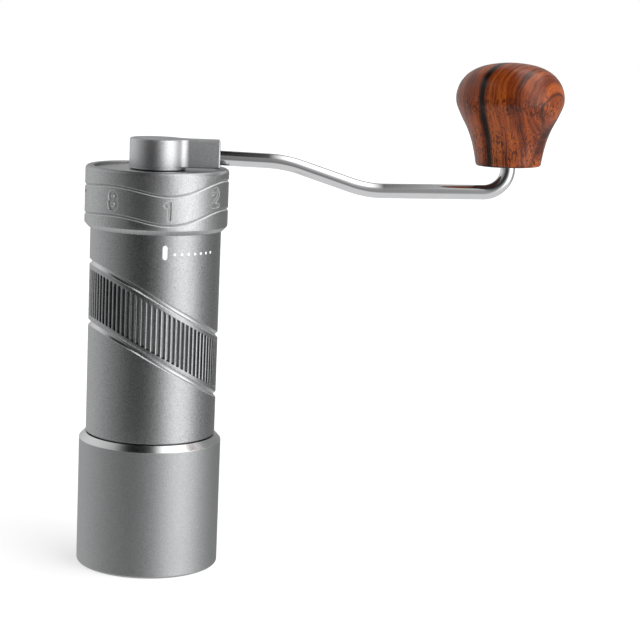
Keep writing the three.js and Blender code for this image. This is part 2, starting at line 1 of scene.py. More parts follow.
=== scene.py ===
"""Looks of a hand crank coffee grinder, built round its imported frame.

Metres, +Z up, the crank arm along +X. Outlines are written in millimetres and scaled by MM.
Angles round the grinder's axis start at the front (-Y) and grow towards the crank arm (+X).
"""

import json
import math

import bmesh
import bpy
import numpy as np
from mathutils import Matrix, Quaternion, Vector


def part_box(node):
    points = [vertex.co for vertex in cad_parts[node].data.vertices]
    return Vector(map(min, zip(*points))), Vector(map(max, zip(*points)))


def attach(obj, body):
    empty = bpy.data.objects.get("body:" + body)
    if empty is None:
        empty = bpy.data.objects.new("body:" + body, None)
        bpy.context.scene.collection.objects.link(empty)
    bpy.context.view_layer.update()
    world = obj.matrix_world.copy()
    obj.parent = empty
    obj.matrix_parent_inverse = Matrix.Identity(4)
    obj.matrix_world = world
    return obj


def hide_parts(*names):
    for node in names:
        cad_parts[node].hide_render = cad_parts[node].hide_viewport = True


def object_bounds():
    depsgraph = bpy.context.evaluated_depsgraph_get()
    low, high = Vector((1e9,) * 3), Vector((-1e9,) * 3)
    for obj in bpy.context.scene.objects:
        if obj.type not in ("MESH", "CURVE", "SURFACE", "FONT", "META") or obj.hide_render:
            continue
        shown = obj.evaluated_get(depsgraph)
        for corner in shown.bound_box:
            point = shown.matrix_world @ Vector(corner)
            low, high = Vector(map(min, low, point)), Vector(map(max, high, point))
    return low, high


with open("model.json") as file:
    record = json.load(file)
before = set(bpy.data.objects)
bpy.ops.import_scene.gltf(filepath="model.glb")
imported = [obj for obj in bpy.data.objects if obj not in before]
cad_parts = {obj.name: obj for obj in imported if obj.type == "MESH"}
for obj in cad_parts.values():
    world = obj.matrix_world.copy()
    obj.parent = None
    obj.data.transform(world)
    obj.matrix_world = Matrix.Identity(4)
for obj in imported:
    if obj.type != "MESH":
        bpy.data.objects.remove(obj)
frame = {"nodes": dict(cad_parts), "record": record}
cad_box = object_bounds()

MM = 0.001
TAU = 2 * math.pi


# ---------------------------------------------------------------- sizes read from the frame

def size_of(node):
    """(radius about Z, lowest z, highest z) of a round CAD node, in millimetres."""
    low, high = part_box(node)
    return high.x / MM, low.z / MM, high.z / MM


CUP_RADIUS, _, CUP_TOP = size_of("catch_cup")
BODY_RADIUS, SPIGOT_BOTTOM, BODY_TOP = size_of("outer_body")
DIAL_RADIUS, DIAL_BOTTOM, DIAL_TOP = size_of("adjustment_dial")
LID_RADIUS, LID_BOTTOM, LID_TOP = size_of("lid_disc")
HOPPER_RADIUS, HOPPER_BOTTOM, HOPPER_TOP = size_of("hopper_tube")
BODY_BOTTOM = CUP_TOP + 0.4

# The ribbed band that wraps round the body as a tilted ring. Its middle follows a sine wave.
BAND_MIDDLE = 98.1
BAND_TILT = 15.0  # amplitude of the wave
BAND_TURN = math.radians(15)
BAND_GROOVE_OFFSET = 12.5
BAND_GROOVE = (1.1, 1.0)  # half width and depth
BAND_LOW, BAND_HIGH = 62, 132  # the body is plain below and above these heights
SLOT_COUNT = 81
SLOT_HALF_LENGTH = 9.35
SLOT_DEPTH = 1.4
RIB_CROWN = 0.16
# Columns of one slot and the halves of the ribs beside it: (millimetres from the slot's middle, share of
# the slot's depth, share of the drop from the rib's crown).
SLOT_COLUMNS = (
    (-0.82, 0, 0.25), (-0.56, 0, 1), (-0.5, 0.3, 1), (-0.44, 1, 0), (-0.15, 1, 0),
    (0.15, 1, 0), (0.44, 1, 0), (0.5, 0.3, 1), (0.56, 0, 1), (0.82, 0, 0.25), (1.03, 0, 0),
)

# The two wavy grooves round the dial, and the numerals between them.
WAVE_MIDDLE = 157.93
WAVE_TERMS = ((1, 1.42, 33.3), (3, 1.80, 41.3), (5, 0.49, 33.5))  # harmonic, height, phase in degrees
WAVE_SPACING = 11.5
WAVE_GROOVE = (0.55, 0.5)  # half width and depth
DIAL_COLUMNS = 1260
DIAL_ROW_STEP = 0.15
WAVE_MARGIN_LOW, WAVE_MARGIN_HIGH = 0.9, 0.8  # from a groove's middle to the even rows between the grooves
NUMERAL_ANGLE = 45  # degrees from one numeral to the next
FIRST_NUMERAL = 8.4  # angle of the numeral 1, in degrees
NUMERAL_STROKE = 1.4
NUMERAL_DEPTH = 0.6
NUMERAL_REACH = 5  # no numeral is wider than this to either side
NUMERAL_WALL = 0.2  # width of the sloping wall round a stroke
NUMERAL_RIM = 0.16  # how far outside a stroke its rim with a painted highlight lies
NUMERAL_RIM_WIDTH = 0.12


# ---------------------------------------------------------------- mesh helpers

SHARP_ANGLE = 35  # degrees between two faces from which their edge stays crisp


def finish_mesh(obj):
    """Smooth shading with crisp edges, and normals that keep flat faces flat."""
    mesh = obj.data
    mesh.shade_smooth()
    mesh.set_sharp_from_angle(angle=math.radians(SHARP_ANGLE))
    weighted = obj.modifiers.new("weighted_normals", "WEIGHTED_NORMAL")
    weighted.keep_sharp = True
    return obj


def new_object(name, mesh):
    obj = bpy.data.objects.new(name, mesh)
    bpy.context.scene.collection.objects.link(obj)
    return obj


def ring_mesh(name, radii, heights, closed=True, angle=None, **marks):
    """A surface of rings round Z. radii and heights are (rows, columns) in millimetres.

    Rows run up the outside. A row of zero radius is one point on the axis. A closed surface joins its
    last row to its first. Columns are evenly spaced unless their angles are given. marks are arrays
    shaped like radii that the material reads: edges with a painted highlight, and machined faces.
    """
    rows, columns = radii.shape
    if angle is None:
        angle = np.linspace(0, TAU, columns, endpoint=False)
    points = np.stack([radii * np.sin(angle), -radii * np.cos(angle), heights], axis=-1) * MM
    vertices, index = [], np.zeros((rows, columns), int)
    for i in range(rows):
        pole = radii[i].max() == 0
        start = len(vertices)
        vertices.extend(points[i, :1] if pole else points[i])
        index[i] = start if pole else start + np.arange(columns)
    faces = []
    for i in range(rows if closed else rows - 1):
        low, high = index[i], index[(i + 1) % rows]
        corners = np.stack([low, np.roll(low, -1), np.roll(high, -1), high], axis=-1)
        if low[0] == low[1]:
            corners = corners[:, [0, 2, 3]]
        elif high[0] == high[1]:
            corners = corners[:, [0, 1, 2]]
        faces.extend(corners.tolist())
    mesh = bpy.data.meshes.new(name)
    mesh.from_pydata([tuple(v) for v in vertices], [], faces)
    mesh.validate()
    for mark, values in marks.items():
        mesh.attributes.new(mark, "FLOAT", "POINT").data.foreach_set("value", values.ravel())
    return new_object(name, mesh)


def rounded(outline, closed=True, steps=5):
    """Replaces each corner of [(r, z, fillet radius), ...] by an arc and returns [(r, z), ...]."""
    points, count = [], len(outline)
    for i, (r, z, fillet) in enumerate(outline):
        corner = Vector((r, z))
        ends = not closed and i in (0, count - 1)
        if fillet == 0 or ends:
            points.append((r, z))
            continue
        before = (Vector(outline[i - 1][:2]) - corner).normalized()
        after = (Vector(outline[(i + 1) % count][:2]) - corner).normalized()
        half = before.angle(after) / 2
        setback = fillet / math.tan(half)
        centre = corner + (before + after).normalized() * fillet / math.sin(half)
        first = corner + before * setback - centre
        sweep = first.angle_signed(corner + after * setback - centre)
        for k in range(steps + 1):
            turned = Matrix.Rotation(-sweep * k / steps, 2) @ first
            points.append(tuple(centre + turned))
    return points


def revolve(name, outline, sides, closed=True):
    """A turned piece. The outline is [(radius, height, fillet radius), ...] and runs up the outside."""
    profile = np.array(rounded(outline, closed))
    shape = (len(profile), sides)
    radii = np.broadcast_to(profile[:, :1], shape)
    heights = np.broadcast_to(profile[:, 1:], shape)
    return ring_mesh(name, radii, heights, closed)


def flat_rows(points, columns):
    """Rings of constant radius and height, to put above or below shaped rows."""
    profile = np.array(points, float)
    shape = (len(profile), columns)
    return np.broadcast_to(profile[:, :1], shape), np.broadcast_to(profile[:, 1:], shape)


def smoothstep(value):
    """0 up to 0, 1 from 1, and a smooth rise between them."""
    value = np.clip(value, 0, 1)
    return value * value * (3 - 2 * value)


def boolean(obj, cutter, operation):
    """Cuts or joins obj with cutter, which is then removed."""
    modifier = obj.modifiers.new(operation.lower(), "BOOLEAN")
    modifier.operation = operation
    modifier.solver = "EXACT"
    modifier.object = cutter
    apply_modifiers(obj)
    bpy.data.objects.remove(cutter)


def apply_modifiers(obj):
    """Makes the shape that the modifiers give into the mesh itself."""
    graph = bpy.context.evaluated_depsgraph_get()
    made = bpy.data.meshes.new_from_object(obj.evaluated_get(graph))
    obj.modifiers.clear()
    obj.data = made


def place(obj, body, material, slot, *nodes):
    """Gives a new piece its material, its body and the CAD nodes that it stands for."""
    obj.data.materials.clear()
    obj.data.materials.append(material)
    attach(obj, body)
    if nodes:
        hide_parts(*nodes)
    return obj


# ---------------------------------------------------------------- material helpers

class Surface:
    """A Principled material with helpers that add and link nodes."""

    def __init__(self, name):
        self.material = bpy.data.materials.new(name)
        self.material.use_nodes = True
        self.tree = self.material.node_tree
        self.shader = self.tree.nodes["Principled BSDF"]
        self.position = self.add("ShaderNodeTexCoord").outputs["Object"]

    def add(self, kind, **settings):
        node = self.tree.nodes.new(kind)
        for key, value in settings.items():
            setattr(node, key, value)
        return node

    def link(self, output, target):
        self.tree.links.new(output, target)

    def plug(self, value, target):
        """Links a socket, or sets a constant."""
        if isinstance(value, bpy.types.NodeSocket):
            self.link(value, target)
        else:
            target.default_value = value

    def noise(self, scale, detail=2.0, roughness=0.5, vector=None):
        """Noise with scale cells to the metre."""
        node = self.add("ShaderNodeTexNoise")
        self.link(vector or self.position, node.inputs["Vector"])
        node.inputs["Scale"].default_value = scale
        node.inputs["Detail"].default_value = detail
        node.inputs["Roughness"].default_value = roughness
        return node.outputs["Fac"]

    def stretched(self, scale, vector=None):
        """Coordinates for noise of scale 1, with a number of cells to the metre along each axis."""
        node = self.add("ShaderNodeMapping")
        self.link(vector or self.position, node.inputs["Vector"])
        node.inputs["Scale"].default_value = scale
        return node.outputs["Vector"]

    def ramp(self, value, *stops):
        """A colour for each value, from (value, colour) stops."""
        node = self.add("ShaderNodeValToRGB")
        self.link(value, node.inputs["Fac"])
        elements = node.color_ramp.elements
        while len(elements) < len(stops):
            elements.new(1.0)
        for element, (at, color) in zip(elements, stops):
            element.position = at
            element.color = (*color, 1)
        return node.outputs["Color"]

    def between(self, value, low, high, source=(0.0, 1.0)):
        """Maps the range source to the range from low to high, and stays within it."""
        node = self.add("ShaderNodeMapRange")
        self.link(value, node.inputs["Value"])
        node.inputs["From Min"].default_value, node.inputs["From Max"].default_value = source
        node.inputs["To Min"].default_value, node.inputs["To Max"].default_value = low, high
        return node.outputs["Result"]

    def band(self, value, middle, half_width, soft, strength):
        """strength within half_width of middle, fading to 0 over soft."""
        away = self.math("ABSOLUTE", self.math("SUBTRACT", value, middle))
        return self.between(away, strength, 0.0, source=(half_width, half_width + soft))

    def math(self, operation, *values):
        node = self.add("ShaderNodeMath", operation=operation)
        for socket, value in zip(node.inputs, values):
            self.plug(value, socket)
        return node.outputs["Value"]

    def mix(self, share, first, second, blend="MIX"):
        node = self.add("ShaderNodeMix", data_type="RGBA", blend_type=blend)
        self.plug(share, node.inputs[0])
        for value, socket in ((first, node.inputs[6]), (second, node.inputs[7])):
            self.plug(value if isinstance(value, bpy.types.NodeSocket) else (*value, 1), socket)
        return node.outputs[2]

    def mix_values(self, share, first, second):
        node = self.add("ShaderNodeMix", data_type="FLOAT")
        for value, socket in zip((share, first, second), (node.inputs[0], node.inputs[2], node.inputs[3])):
            self.plug(value, socket)
        return node.outputs[0]

    def split(self, vector):
        """The x, y and z sockets of a vector."""
        node = self.add("ShaderNodeSeparateXYZ")
        self.link(vector, node.inputs["Vector"])
        return node.outputs

    def bump(self, height, strength, distance, below=None):
        node = self.add("ShaderNodeBump")
        self.link(height, node.inputs["Height"])
        node.inputs["Strength"].default_value = strength
        node.inputs["Distance"].default_value = distance
        if below:
            self.link(below, node.inputs["Normal"])
        return node.outputs["Normal"]

    def set(self, **inputs):
        """Sets the shader's inputs, with _ for each space in their names."""
        for key, value in inputs.items():
            self.plug(value, self.shader.inputs[key.replace("_", " ")])


# Colours of the marks on blasted metal. Edges with a painted highlight are light and partly matt, and
# machined faces shine more.
CLOUD_TINT = (0.9, 0.9, 0.9)
RUBBED_TINT = (0.7, 0.7, 0.71)
EDGE_HIGHLIGHT_TINT = (0.85, 0.85, 0.86)
EDGE_HIGHLIGHT_METALLIC = 0.35
MACHINED_TINT = (0.72, 0.725, 0.73)
MACHINED_ROUGHNESS = 0.22
MACHINED_GRAIN = 0.05  # share of the blasted grain that is left


def blasted_aluminium(name, tint, roughness, grain, machined_above=None):
    """Bead-blasted, anodised aluminium: fine sparkling grain, faint clouds, small rubbed spots.

    A mesh attribute marks edges that get a painted highlight, a light and partly matt line. Freshly turned
    faces are marked by the attribute machined, or they are all that lies above the height machined_above,
    in metres.
    """
    s = Surface(name)
    clouds = s.noise(70, detail=3)
    speckle = s.noise(1800, detail=3, roughness=0.7)
    contrast = 0.3 * grain
    dark = tuple(c * (1 - contrast) for c in tint)
    light = tuple(c * (1 + contrast) for c in tint)
    colour = s.mix(s.between(speckle, 0.0, 1.0, source=(0.3, 0.7)), dark, light)
    colour = s.mix(s.between(clouds, 0.0, 0.12), colour, CLOUD_TINT, "MULTIPLY")
    rubbed = s.between(s.noise(420, detail=2), 0.0, 0.25, source=(0.68, 0.78))
    colour = s.mix(rubbed, colour, RUBBED_TINT)
    # Painted highlight: the marked edges get a light, partly matt colour, whatever the light.
    worn = s.add("ShaderNodeAttribute", attribute_name="worn").outputs["Fac"]
    colour = s.mix(worn, colour, EDGE_HIGHLIGHT_TINT)
    s.set(Metallic=s.between(worn, 1.0, EDGE_HIGHLIGHT_METALLIC))
    rough = s.math("ADD", s.between(speckle, roughness - 0.07, roughness + 0.07),
                   s.between(clouds, -0.03, 0.03))
    height = s.noise(1600, detail=3, roughness=0.7)
    if machined_above is None:
        turned = s.add("ShaderNodeAttribute", attribute_name="machined").outputs["Fac"]
    else:
        turned = s.math("GREATER_THAN", s.split(s.position)["Z"], machined_above)
    colour = s.mix(turned, colour, MACHINED_TINT)
    rough = s.mix_values(turned, rough, MACHINED_ROUGHNESS)
    height = s.math("MULTIPLY", height, s.between(turned, 1.0, MACHINED_GRAIN))
    s.set(Base_Color=colour, Roughness=rough)
    fine = s.bump(s.noise(4600, detail=2), 0.3 * grain, 0.02 * MM)
    s.set(Normal=s.bump(height, 0.85 * grain, 0.1 * MM, fine))
    return s.material


def turned_metal(name, tint, roughness, line_scale=2600, lines=0.25):
    """Metal with fine turning or brushing lines round Z and slight stains.

    line_scale is the number of lines to the metre, and lines is how deep they look.
    """
    s = Surface(name)
    rings = s.noise(1.0, detail=3, vector=s.stretched((40, 40, line_scale)))
    clouds = s.noise(160, detail=3)
    dark = tuple(0.8 * c for c in tint)
    s.set(Base_Color=s.mix(s.between(clouds, 0.0, 0.5), tint, dark))
    s.set(Metallic=1.0)
    s.set(Roughness=s.between(rings, roughness * 0.8, roughness * 1.3))
    s.set(Normal=s.bump(rings, lines, 0.02 * MM))
    return s.material


def polished_steel():
    """Polished stainless rod: near mirror, with faint drawing lines along it and tiny scratches."""
    s = Surface("polished_stainless")
    drawn = s.noise(1.0, detail=3, vector=s.stretched((50, 2500, 2500)))
    smudge = s.noise(120, detail=4)
    s.set(Base_Color=s.mix(s.between(smudge, 0.0, 0.6), (0.8, 0.8, 0.81), (0.66, 0.66, 0.68)))
    s.set(Metallic=1.0)
    s.set(Roughness=s.math("ADD", s.between(drawn, 0.03, 0.12), s.between(smudge, 0.0, 0.05)))
    s.set(Normal=s.bump(drawn, 0.08, 0.01 * MM))
    return s.material


def soft_rubber():
    """Matt black silicone with a fine grain."""
    s = Surface("silicone")
    grain = s.noise(900, detail=3)
    s.set(Base_Color=s.mix(grain, (0.018, 0.018, 0.02), (0.035, 0.035, 0.038)))
    s.set(Roughness=s.between(grain, 0.55, 0.75))
    s.set(Normal=s.bump(grain, 0.3, 0.05 * MM))
    return s.material


def index_paint():
    """White marking paint with a painted glow: a little emission, as if under a strong studio light."""
    s = Surface("index_paint")
    grain = s.noise(2500, detail=2)
    s.set(Base_Color=s.mix(grain, (0.93, 0.93, 0.92), (0.8, 0.8, 0.79)))
    s.set(Roughness=s.between(grain, 0.35, 0.5))
    s.set(Normal=s.bump(grain, 0.2, 0.02 * MM))
    # Painted glow: this emission stands in for the studio light on the paint.
    s.set(Emission_Color=(1, 1, 1, 1), Emission_Strength=0.45)
    return s.material


# The knob's wood, in metres. Its growth layers are vertical sheets that face this way, seen from above,
# and a layer's place is its distance from the knob's axis. Heights are above the knob's underside.
LAYER_FACES = (0.777, -0.629)
LAYER_WARP = 0.0036
WOOD_TONES = (
    (0.36, (0.09, 0.015, 0.004)),
    (0.45, (0.24, 0.042, 0.009)),
    (0.52, (0.43, 0.085, 0.016)),
    (0.61, (0.62, 0.145, 0.024)),
)
# Near black, for the heart streaks and for the painted shade on the knob's underside.
HEART_AND_SHADE_TINT = (0.006, 0.003, 0.0025)
PORE_TINT = (0.06, 0.014, 0.006)
# Dark lines: (place, half width, soft edge, strength).
HEART_STREAK = (-0.0014, 0.0007, 0.0014, 0.98)
DOME_ARC = (0.0122, 0.0001, 0.0006, 1.0)
SLANTED_LINE = (0.0127, 0.0001, 0.0004, 0.6)
LINE_SLANT = 0.27
DOME_HEIGHTS = (0.022, 0.034)  # the arc on the dome fades in between these
CORE_PLACES = (0.0206, 0.0222)  # the rings' middle darkens between these
UNDERSIDE_SHADE_HEIGHTS = (0.0002, 0.0006)  # the painted shade on the underside fades out between these
# Heights with more pores: (height, half width, soft edge, strength).
WIDEST_PORES = (0.0245, 0.002, 0.003, 0.11)
WAIST_PORES = (0.007, 0.006, 0.006, 0.09)


def rosewood(axis_point):
    """Polished rosewood: red-brown growth layers with dark heart streaks and open pores.

    Flat layers cut by the round knob make arcs on its dome, slanting lines lower down, and rings where
    the surface lies along the layers. axis_point is the middle of the knob's underside.
    """
    s = Surface("rosewood")
    moved = s.add("ShaderNodeMapping")
    s.link(s.position, moved.inputs["Vector"])
    moved.inputs["Location"].default_value = tuple(-c for c in axis_point)
    local = moved.outputs["Vector"]
    x, y, z = s.split(local)
    across = s.math("ADD", s.math("MULTIPLY", x, LAYER_FACES[0]), s.math("MULTIPLY", y, LAYER_FACES[1]))
    along = s.math("SUBTRACT", s.math("MULTIPLY", y, LAYER_FACES[0]), s.math("MULTIPLY", x, LAYER_FACES[1]))
    warp = s.math("SUBTRACT", s.noise(55, detail=3, vector=local), 0.5)
    layer = s.math("ADD", across, s.math("MULTIPLY", warp, LAYER_WARP))
    combine = s.add("ShaderNodeCombineXYZ")
    for value, socket in zip((layer, along, z), combine.inputs):
        s.link(value, socket)
    grain_space = combine.outputs["Vector"]
    broad = s.noise(1.0, detail=3, vector=s.stretched((420, 22, 22), grain_space))
    lines = s.noise(1.0, detail=4, roughness=0.6, vector=s.stretched((1700, 60, 60), grain_space))
    blotch = s.noise(130, detail=3, vector=local)
    tone = s.math("ADD", s.math("MULTIPLY", broad, 0.45), s.math("MULTIPLY", lines, 0.4))
    tone = s.math("ADD", tone, s.math("MULTIPLY", blotch, 0.15))
    colour = s.ramp(tone, *WOOD_TONES)
    tilted = s.math("SUBTRACT", layer, s.math("MULTIPLY", z, LINE_SLANT))
    colour = s.mix(s.band(layer, *HEART_STREAK), colour, HEART_AND_SHADE_TINT)
    on_dome = s.between(z, 0.1, 0.75, source=DOME_HEIGHTS)
    arc_line = s.math("MULTIPLY", s.band(layer, *DOME_ARC), on_dome)
    colour = s.mix(arc_line, colour, HEART_AND_SHADE_TINT)
    colour = s.mix(s.band(tilted, *SLANTED_LINE), colour, HEART_AND_SHADE_TINT)
    core = s.between(layer, 0.0, 0.8, source=CORE_PLACES)
    colour = s.mix(s.math("MULTIPLY", core, lines), colour, HEART_AND_SHADE_TINT)
    pores = s.noise(1.0, detail=2, roughness=0.6, vector=s.stretched((1500, 1500, 520), local))
    more = s.math("ADD", s.band(z, *WIDEST_PORES), s.band(z, *WAIST_PORES))
    pore = s.between(s.math("SUBTRACT", pores, more), 0.85, 0.0, source=(0.31, 0.38))
    colour = s.mix(pore, colour, PORE_TINT)
    # Painted shade: the knob's underside is darkened to near black.
    colour = s.mix(s.between(z, 0.85, 0.0, source=UNDERSIDE_SHADE_HEIGHTS), colour, HEART_AND_SHADE_TINT)
    s.set(Base_Color=colour)
    s.set(Roughness=s.between(pores, 0.42, 0.3, source=(0.3, 0.6)))
    s.set(Normal=s.bump(pores, 0.25, 0.08 * MM))
    s.set(Coat_Weight=0.6, Coat_Roughness=0.2, Coat_IOR=1.5, Specular_IOR_Level=0.05)
    return s.material


# ---------------------------------------------------------------- catch cup

CUP_MOUTH_RADIUS = 24.8
CUP_MOUTH_BOTTOM = 40
CUP_INSIDE_RADIUS = 25.6
CUP_INSIDE_TOP = 39.2
CUP_FLOOR = 2.5
CUP_FOOT_WIDTH = 7
CUP_FOOT_RECESS = 0.6
SHOULDER_WIDTH, SHOULDER_DROP = 2.3, 2.4


def catch_cup():
    return revolve("cup", [
        (0, CUP_FOOT_RECESS, 0),
        (CUP_RADIUS - CUP_FOOT_WIDTH + 1, CUP_FOOT_RECESS, 0.3),
        (CUP_RADIUS - CUP_FOOT_WIDTH, 0, 0.3),
        (CUP_RADIUS, 0, 1.0),
        (CUP_RADIUS, CUP_TOP - SHOULDER_DROP, 0.5),
        (CUP_RADIUS - SHOULDER_WIDTH, CUP_TOP, 0.25),
        (CUP_MOUTH_RADIUS, CUP_TOP, 0.3),
        (CUP_MOUTH_RADIUS, CUP_MOUTH_BOTTOM, 0.3),
        (CUP_INSIDE_RADIUS, CUP_INSIDE_TOP, 0.3),
        (CUP_INSIDE_RADIUS, CUP_FLOOR, 3),
        (0, CUP_FLOOR, 0),
    ], 240, closed=False)


# ---------------------------------------------------------------- body

SPIGOT_RADIUS = 24.4
SEAL_GROOVE_RADIUS = 23.3
SEAL_GROOVE_LOW, SEAL_GROOVE_HIGH = 46, 48.4
BURR_BORE = 22.3
BURR_SEAT_RADIUS = 20.5
BURR_SEAT_LOW, BURR_SEAT_HIGH = 60.6, 62.3
BODY_BORE = 23.6
RING_GROOVE_RADIUS = 25.6  # the groove for the spring ring that holds the dial
RING_GROOVE_LOW, RING_GROOVE_HIGH = 143.2, 145


def band_height(angle):
    """Height of the ribbed band's middle."""
    return BAND_MIDDLE - BAND_TILT * np.sin(angle - BAND_TURN)


def v_groove(half_width, depth):
    """[(offset, depth)] across a V groove with soft edges and a narrow flat bottom, from low to high."""
    side = ((1.2, 0), (1.0, 0.07), (0.84, 0.24), (0.12, 1.0))
    left = [(-o * half_width, d * depth) for o, d in side]
    right = [(o * half_width, d * depth) for o, d in reversed(side)]
    return left + right


GROOVE_ROWS = len(v_groove(1, 1))


def band_rows():
    """[(offset from the band's middle, groove depth, share of the slot depth)] from low to high."""
    groove = v_groove(*BAND_GROOVE)
    low = [(o - BAND_GROOVE_OFFSET, d, 0) for o, d in groove]
    high = [(o + BAND_GROOVE_OFFSET, d, 0) for o, d in groove]
    end = SLOT_HALF_LENGTH
    rise = [(end + 0.2, 0, 0), (end + 0.05, 0, 0.3), (end - 0.1, 0, 0.8), (end - 0.3, 0, 1)]
    inner = [(o, 0, 1) for o in np.linspace(-end + 2, end - 2, 7)]
    return low + [(-o, d, share) for o, d, share in rise] + inner + rise[::-1] + high


def outer_body():
    """Plain rows below the band, the band's tilted rows, then plain rows up and down through the bore."""
    across, deep, crown = np.array(SLOT_COLUMNS).T
    angle = np.add.outer(np.arange(SLOT_COUNT) * TAU / SLOT_COUNT, across / BODY_RADIUS).ravel()
    slot = np.tile(SLOT_DEPTH * deep + RIB_CROWN * crown, SLOT_COUNT)
    columns = len(angle)
    below = rounded([
        (BURR_BORE, SPIGOT_BOTTOM, 0.3),
        (SPIGOT_RADIUS, SPIGOT_BOTTOM, 0.4),
        (SPIGOT_RADIUS, SEAL_GROOVE_LOW, 0.1),
        (SEAL_GROOVE_RADIUS, SEAL_GROOVE_LOW, 0.1),
        (SEAL_GROOVE_RADIUS, SEAL_GROOVE_HIGH, 0.1),
        (SPIGOT_RADIUS, SEAL_GROOVE_HIGH, 0.1),
        (SPIGOT_RADIUS, BODY_BOTTOM, 0.1),
        (BODY_RADIUS, BODY_BOTTOM, 0.35),
        (BODY_RADIUS, BAND_LOW, 0),
    ], closed=False, steps=3)
    above = rounded([
        (BODY_RADIUS, BAND_HIGH, 0),
        (BODY_RADIUS, RING_GROOVE_LOW, 0.1),
        (RING_GROOVE_RADIUS, RING_GROOVE_LOW, 0.1),
        (RING_GROOVE_RADIUS, RING_GROOVE_HIGH, 0.1),
        (BODY_RADIUS, RING_GROOVE_HIGH, 0.1),
        (BODY_RADIUS, BODY_TOP, 0.4),
        (BODY_BORE, BODY_TOP, 0.3),
        (BODY_BORE, BURR_SEAT_HIGH, 0.2),
        (BURR_SEAT_RADIUS, BURR_SEAT_HIGH, 0.2),
        (BURR_SEAT_RADIUS, BURR_SEAT_LOW, 0.2),
        (BURR_BORE, BURR_SEAT_LOW, 0),
    ], closed=False, steps=3)
    band = band_rows()
    low_radii, low_heights = flat_rows(below, columns)
    high_radii, high_heights = flat_rows(above, columns)
    band_radii = [BODY_RADIUS - depth - share * slot for _, depth, share in band]
    band_heights = [band_height(angle) + offset for offset, _, _ in band]
    radii = np.concatenate([low_radii, band_radii, high_radii])
    heights = np.concatenate([low_heights, band_heights, high_heights])
    worn, machined = np.zeros(radii.shape), np.zeros(radii.shape)
    # The lower edge of each band groove gets a painted highlight, and its lower wall and bottom are
    # machined.
    for first in (len(below), len(below) + len(band) - GROOVE_ROWS):
        worn[first + 1] = 1
        machined[first + 2:first + 5] = 1
    return ring_mesh("body_shell", radii, heights, angle=angle, worn=worn, machined=machined)


# The painted index bar and the row of dots to its right. Angles are in degrees.
BAR_ANGLE, BAR_Z = 8.35, 132.7
BAR_HALF_WIDTH, BAR_HALF_HEIGHT = 0.97, 2.85
DOT_COUNT = 7
FIRST_DOT, DOT_STEP = 17.0, 6.5
DOTS_Z = 132.0
DOT_RADIUS = 0.55
PAINT_THICKNESS = 0.03
PAINT_SIDES = 32


def above_body(angle, z, lift):
    """A point lift millimetres outside the body's surface, in metres."""
    radius = BODY_RADIUS + lift
    return (radius * math.sin(angle) * MM, -radius * math.cos(angle) * MM, z * MM)


def paint_patch(bm, angle, z, half_width, half_height):
    """A thin skin on the body with round ends. Its rim slopes down to the metal."""
    corner = min(half_width, half_height)
    straight = half_height - corner
    rings = []
    for share, lift in ((1.0, 0.0), (0.97, PAINT_THICKNESS)):
        ring = []
        for k in range(PAINT_SIDES):
            turn = TAU * k / PAINT_SIDES
            side = corner * math.cos(turn)
            up = corner * math.sin(turn) + math.copysign(straight, math.sin(turn))
            at = angle + share * side / BODY_RADIUS
            ring.append(bm.verts.new(above_body(at, z + share * up, lift)))
        rings.append(ring)
    rim, top = rings
    centre = bm.verts.new(above_body(angle, z, PAINT_THICKNESS))
    for k in range(PAINT_SIDES):
        following = (k + 1) % PAINT_SIDES
        bm.faces.new((rim[k], rim[following], top[following], top[k]))
        bm.faces.new((top[k], top[following], centre))


def index_marks():
    bm = bmesh.new()
    paint_patch(bm, math.radians(BAR_ANGLE), BAR_Z, BAR_HALF_WIDTH, BAR_HALF_HEIGHT)
    for k in range(DOT_COUNT):
        paint_patch(bm, math.radians(FIRST_DOT + DOT_STEP * k), DOTS_Z, DOT_RADIUS, DOT_RADIUS)
    bmesh.ops.recalc_face_normals(bm, faces=bm.faces)
    mesh = bpy.data.meshes.new("index_marks")
    bm.to_mesh(mesh)
    bm.free()
    return new_object("index_marks", mesh)


# ---------------------------------------------------------------- dial

DIAL_BORE = 26.8
DIAL_RIM_BORE = 25.6
DIAL_FLANGE_RADIUS = 23.5
DIAL_FLANGE_LOW, DIAL_FLANGE_HIGH = 156.4, 157.4
DIAL_GROOVE_RADIUS = 27.5  # the dial's groove for the spring ring
DIAL_GROOVE_HIGH = 145.1
DIAL_BEVEL_WIDTH, DIAL_BEVEL_HEIGHT = 1.7, 1.8
DIAL_TOP_ROUND = 1.4


def wave_height(angle):
    """Height of the dial's upper wavy groove."""
    return WAVE_MIDDLE + sum(h * np.sin(n * (angle - math.radians(p))) for n, h, p in WAVE_TERMS)


def arc(x, y, radius, start, end, steps=14):
    """Points on a circle about (x, y), between two angles in degrees."""
    turns = np.radians(np.linspace(start, end, steps + 1))
    return [(x + radius * math.cos(t), y + radius * math.sin(t)) for t in turns]


# Centre lines of the numerals 1 to 8 in millimetres, each a list of strokes.
NUMERALS = (
    [[(-0.6, 2.2), (0.9, 3.2), (0.9, -3.2)]],
    [arc(0, 1.3, 1.9, 165, -30) + [(-2.0, -3.2), (2.1, -3.2)]],
    [arc(-0.1, 1.6, 1.6, 150, -90), arc(-0.1, -1.55, 1.65, 90, -150)],
    [[(2.2, -1.5), (-2.2, -1.5), (1.0, 3.2), (1.0, -3.2)]],
    [[(1.9, 3.2), (-1.5, 3.2), (-1.7, 0.4)] + arc(-0.1, -1.2, 2.0, 130, -140)],
    [[(1.3, 3.2)] + arc(1.6, -1.2, 3.5, 125, 180, 6), arc(0, -1.3, 1.9, 0, 360, 24)],
    [[(-2.0, 3.2), (2.0, 3.2), (-0.8, -3.2)]],
    [arc(0, 1.7, 1.5, 0, 360, 24), arc(0, -1.5, 1.75, 0, 360, 24)],
)


